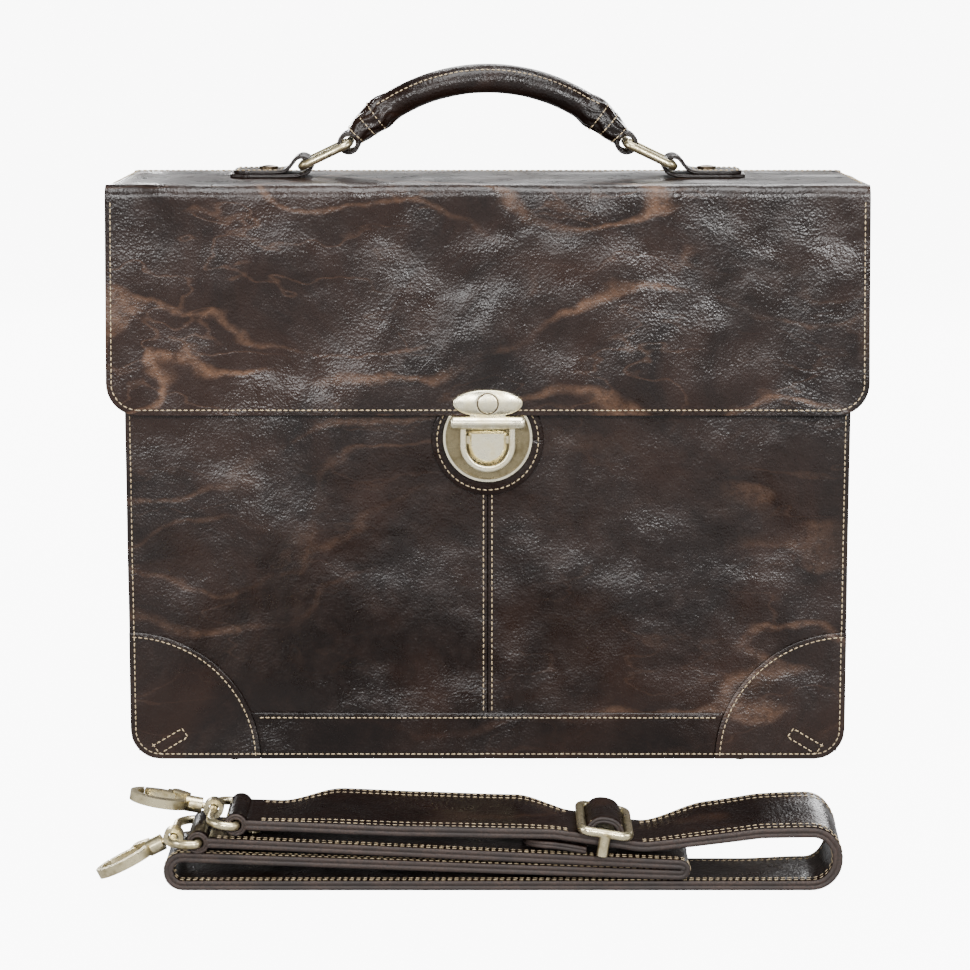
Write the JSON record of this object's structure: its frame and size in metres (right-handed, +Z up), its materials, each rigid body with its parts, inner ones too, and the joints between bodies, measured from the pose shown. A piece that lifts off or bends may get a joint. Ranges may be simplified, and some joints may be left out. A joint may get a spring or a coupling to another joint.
{
  "type": "leather briefcase",
  "caption": "Leather briefcase with a turn-back flap, push lock and padded ring handle, and a folded shoulder strap with trigger hooks.",
  "frame": {"origin": "on the floor under the centre of the bag's body", "axes": "+X along the bag's width, to the right when facing its front; the front faces -Y; +Z up"},
  "size_m": [0.395, 0.3298, 0.3648],
  "materials": {
    "leather": "dark chocolate pull-up leather, waxed and marbled, semi-gloss",
    "strap_leather": "darker brown layered strap leather with raw brown edges",
    "thread": "cream waxed linen thread",
    "antique_brass": "antique brass plating, brushed",
    "zip_brass": "brass zip slider",
    "zip_chain": "brass zip teeth on a dark tape",
    "inner_steel": "nickel plated steel, hidden",
    "lining": "brown twill lining",
    "board": "stiff base board",
    "core": "soft round handle core"
  },
  "bodies": {
    "root": {"back_panel": "leather", "base_board": "board", "base_feet": "antique_brass", "base_strip_back": "leather", "base_strip_front": "leather", "body_lining": "lining", "bottom_gusset": "leather", "corner_patches_back": "leather", "corner_patches_front": "leather", "divider": "lining", "feet_nuts": "inner_steel", "flap_back_strip": "leather", "front_panel_left": "leather", "front_panel_right": "leather", "lock_back_plate": "inner_steel", "lock_base": "antique_brass", "lock_cap": "inner_steel", "lock_patch": "leather", "lock_spring": "inner_steel", "side_gusset_left": "leather", "side_gusset_right": "leather", "side_rivets": "antique_brass", "side_tabs": "leather", "slip_pocket": "lining", "zip_chain": "zip_chain", "zip_pocket": "lining"},
    "flap_top": {"flap_top": "leather", "flap_top_lining": "lining", "handle_tabs": "leather", "tab_rivets": "antique_brass"},
    "flap_front": {"flap_front": "leather", "flap_front_lining": "lining", "hasp_plate": "antique_brass", "hasp_back_plate": "inner_steel", "hasp_rivet": "antique_brass"},
    "hasp": {"hasp": "antique_brass"},
    "lock_button": {"lock_button": "antique_brass"},
    "lock_catch_left": {"lock_catch_left": "antique_brass"},
    "lock_catch_right": {"lock_catch_right": "antique_brass"},
    "handle": {"handle_grip": "leather", "handle_core": "core", "handle_ends": "leather"},
    "handle_ring_left": {"handle_ring_left": "antique_brass"},
    "handle_ring_right": {"handle_ring_right": "antique_brass"},
    "side_ring_left": {"side_ring_left": "antique_brass"},
    "side_ring_right": {"side_ring_right": "antique_brass"},
    "zip_slider": {"zip_slider": "zip_brass", "zip_pull": "zip_brass"},
    "strap": {"shoulder_strap": "strap_leather", "strap_rivets": "antique_brass"},
    "strap_adjuster": {"strap_adjuster": "antique_brass", "strap_sewn_end": "strap_leather"},
    "strap_ring_upper": {"strap_ring_upper": "antique_brass", "hook_swivel_upper": "antique_brass"},
    "strap_ring_lower": {"strap_ring_lower": "antique_brass", "hook_swivel_lower": "antique_brass"},
    "hook_upper": {"hook_body_upper": "antique_brass"},
    "hook_lower": {"hook_body_lower": "antique_brass"},
    "gate_upper": {"hook_gate_upper": "antique_brass"},
    "gate_lower": {"hook_gate_lower": "antique_brass"}
  },
  "joints": [
    {"name": "flap_top_fold", "type": "hinge", "parent": "root", "child": "flap_top", "pos_m": [0, 0.0515, 0.3045], "axis": [-1, 0, 0], "range_deg": [0, 110]},
    {"name": "flap_front_fold", "type": "hinge", "parent": "flap_top", "child": "flap_front", "pos_m": [0, -0.054, 0.304], "axis": [-1, 0, 0], "range_deg": [0, 110]},
    {"name": "hasp_swing", "type": "hinge", "parent": "flap_front", "child": "hasp", "pos_m": [0, -0.058, 0.184], "axis": [-1, 0, 0], "range_deg": [0, 80]},
    {"name": "lock_press", "type": "slide", "parent": "root", "child": "lock_button", "axis": [0, 1, 0], "range_m": [0, 0.0025], "stiffness_N_per_m": 400, "deforming": ["lock_spring"]},
    {"name": "catch_left_slide", "type": "slide", "parent": "lock_button", "child": "lock_catch_left", "axis": [1, 0, 0], "range_m": [0, 0.00175]},
    {"name": "catch_right_slide", "type": "slide", "parent": "lock_button", "child": "lock_catch_right", "axis": [-1, 0, 0], "range_m": [0, 0.00175]},
    {"name": "handle_rock", "type": "hinge", "parent": "flap_top", "child": "handle", "pos_m": [0, 0, 0.35862], "axis": [0, 1, 0], "range_deg": [-4, 4]},
    {"name": "ring_left_swing", "type": "hinge", "parent": "flap_top", "child": "handle_ring_left", "pos_m": [-0.097, 0, 0.3123], "axis": [0, 1, 0], "range_deg": [-12, 12]},
    {"name": "ring_right_swing", "type": "hinge", "parent": "flap_top", "child": "handle_ring_right", "pos_m": [0.097, 0, 0.3123], "axis": [0, 1, 0], "range_deg": [-12, 12]},
    {"name": "side_ring_left_swing", "type": "hinge", "parent": "root", "child": "side_ring_left", "pos_m": [-0.1925, 0, 0.262], "axis": [0, 1, 0], "range_deg": [0, 95]},
    {"name": "side_ring_right_swing", "type": "hinge", "parent": "root", "child": "side_ring_right", "pos_m": [0.1925, 0, 0.262], "axis": [0, -1, 0], "range_deg": [0, 95]},
    {"name": "zip_pull_slide", "type": "slide", "parent": "root", "child": "zip_slider", "axis": [1, 0, 0], "range_m": [0, 0.195]},
    {"name": "strap_lift", "type": "slide", "parent": "root", "child": "strap", "axis": [0, 0, 1], "range_m": [0, 0.15]},
    {"name": "adjuster_slide", "type": "slide", "parent": "strap", "child": "strap_adjuster", "axis": [0.9877, 0, -0.1566], "range_m": [-0.004, 0.004]},
    {"name": "strap_ring_upper_swing", "type": "hinge", "parent": "strap", "child": "strap_ring_upper", "pos_m": [-0.1155, -0.253, 0.031], "axis": [0, 1, 0], "range_deg": [0, 60]},
    {"name": "strap_ring_lower_swing", "type": "hinge", "parent": "strap", "child": "strap_ring_lower", "pos_m": [-0.133, -0.253, 0.0225], "axis": [0, 1, 0], "range_deg": [0, 10]},
    {"name": "hook_upper_turn", "type": "hinge", "parent": "strap_ring_upper", "child": "hook_upper", "pos_m": [-0.12743, -0.246, 0.03225], "axis": [-0.9848, 0, 0.1736], "continuous": true},
    {"name": "hook_lower_turn", "type": "hinge", "parent": "strap_ring_lower", "child": "hook_lower", "pos_m": [-0.145, -0.26, 0.0225], "axis": [-0.891, 0, -0.454], "continuous": true},
    {"name": "gate_upper_open", "type": "hinge", "parent": "hook_upper", "child": "gate_upper", "pos_m": [-0.14575, -0.2384, 0.03548], "axis": [0.1736, 0, 0.9848], "range_deg": [0, 25], "stiffness_Nm_per_rad": 0.02},
    {"name": "gate_lower_open", "type": "hinge", "parent": "hook_lower", "child": "gate_lower", "pos_m": [-0.16157, -0.2524, 0.01406], "axis": [-0.454, 0, 0.891], "range_deg": [0, 25], "stiffness_Nm_per_rad": 0.02}
  ],
  "couplings": [
    {"joint": "catch_left_slide", "follows": "lock_press", "ratio": 0.7},
    {"joint": "catch_right_slide", "follows": "lock_press", "ratio": 0.7},
    {"joint": "ring_left_swing", "follows": "handle_rock", "ratio": -2.9592},
    {"joint": "ring_right_swing", "follows": "handle_rock", "ratio": -2.9592}
  ]
}
